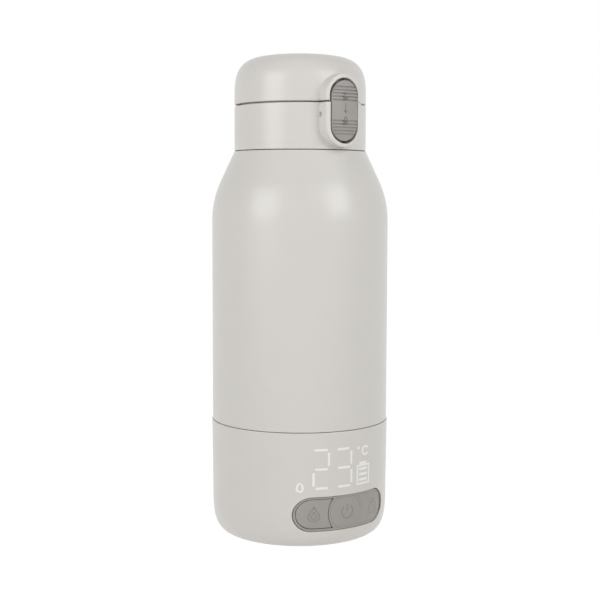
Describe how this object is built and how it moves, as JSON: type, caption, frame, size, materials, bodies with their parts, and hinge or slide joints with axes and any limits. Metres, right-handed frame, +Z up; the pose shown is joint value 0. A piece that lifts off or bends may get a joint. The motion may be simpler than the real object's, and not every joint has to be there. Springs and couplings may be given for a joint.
{
  "type": "baby bottle warmer",
  "caption": "Cordless flask-type bottle warmer: a heated vessel on a battery base with lit display and keys, under a screw-on lid with flip cap and locking latch.",
  "frame": {"origin": "on the bottle's axis at the underside of the foot ring, on the table", "axes": "+Z up along the bottle's axis, -Y towards the lid's latch, +Y towards the lid's hinge"},
  "size_m": [0.0746, 0.0746, 0.2013],
  "materials": {
    "body_coat": "soft-touch satin coat",
    "base_plastic": "satin",
    "lid_plastic": "satin",
    "latch_grey": "matt",
    "pad_grey": "matt",
    "button_grey": "matt",
    "lit": "lit from behind",
    "white_plastic": "satin",
    "clear_silicone": "soft",
    "grey_silicone": "soft",
    "foot_rubber": "soft",
    "black_rubber": "soft",
    "steel": "brushed",
    "screw_steel": "plain",
    "aluminium": "plain",
    "black_plastic": "matt",
    "board": "solder mask",
    "cell_foil": "foil pouch",
    "heater_film": "polyimide film",
    "sensor": "glazed",
    "felt": "felt",
    "lead": "silicone sleeve"
  },
  "bodies": {
    "bottle": {"bottle_shell": "body_coat", "inner_vessel": "steel", "jacket_ring": "steel", "heater_tray": "black_plastic", "base_seal": "black_rubber", "insulation_pad": "felt", "heater_clamp": "steel", "heater_film": "heater_film", "heat_spreader": "aluminium", "temperature_sensor": "sensor", "thermal_fuse": "sensor", "base_housing": "base_plastic", "bottom_cover": "base_plastic", "cover_screws": "screw_steel", "foot_ring": "foot_rubber", "battery_tray": "black_plastic", "battery_cells": "cell_foil", "board_screws": "screw_steel", "main_board": "board", "charging_port": "steel", "control_board": "board", "light_guide": "white_plastic", "display_segments": "lit", "button_switches": "black_plastic", "button_bezel": "pad_grey", "heater_leads": "lead", "ribbon_cable": "white_plastic"},
    "gasket": {"neck_gasket": "clear_silicone"},
    "collar": {"collar_shell": "lid_plastic", "spout_insert": "white_plastic", "hinge_pin": "screw_steel", "lid_spring": "screw_steel", "latch_pin": "screw_steel", "latch_spring": "screw_steel"},
    "cap": {"cap_shell": "lid_plastic", "cap_liner": "white_plastic", "cap_seal": "clear_silicone"},
    "latch": {"latch_lever": "latch_grey"},
    "lock": {"latch_slider": "latch_grey"},
    "water_key": {"water_button": "button_grey"},
    "power_key": {"power_button": "button_grey"},
    "bottle_key": {"bottle_button": "button_grey"},
    "port_flap": {"port_cover": "grey_silicone"}
  },
  "joints": [
    {"name": "lid_lift", "type": "slide", "parent": "bottle", "child": "gasket", "axis": [0, 0, 1], "range_m": [0, 0.008]},
    {"name": "lid_unscrew", "type": "hinge", "parent": "gasket", "child": "collar", "pos_m": [0, 0, 0.17], "axis": [0, 0, 1], "range_deg": [0, 720.2]},
    {"name": "lid_flip", "type": "hinge", "parent": "collar", "child": "cap", "pos_m": [0, 0.0285, 0.1803], "axis": [-1, 0, 0], "range_deg": [0, 120]},
    {"name": "latch_press", "type": "hinge", "parent": "collar", "child": "latch", "pos_m": [0, -0.0268, 0.1753], "axis": [1, 0, 0], "range_deg": [0, 7], "stiffness_Nm_per_rad": 0.05, "springref_deg": -11.46, "deforming": ["latch_spring"]},
    {"name": "lock_slide", "type": "slide", "parent": "latch", "child": "lock", "axis": [0, 0, -1], "range_m": [0, 0.0009]},
    {"name": "water_press", "type": "slide", "parent": "bottle", "child": "water_key", "axis": [0.0558, 0.9984, 0], "range_m": [0, 0.0006], "stiffness_N_per_m": 500, "springref_m": -0.0006},
    {"name": "power_press", "type": "slide", "parent": "bottle", "child": "power_key", "axis": [0.0558, 0.9984, 0], "range_m": [0, 0.0006], "stiffness_N_per_m": 500, "springref_m": -0.0006},
    {"name": "bottle_press", "type": "slide", "parent": "bottle", "child": "bottle_key", "axis": [0.0558, 0.9984, 0], "range_m": [0, 0.0006], "stiffness_N_per_m": 500, "springref_m": -0.0006},
    {"name": "port_flap_swing", "type": "hinge", "parent": "bottle", "child": "port_flap", "pos_m": [-0.00436, 0.03582, 0.00995], "axis": [0, 0, 1], "range_deg": [0, 105]}
  ],
  "couplings": [
    {"joint": "lid_unscrew", "follows": "lid_lift", "rad_per_m": 1570.8}
  ]
}
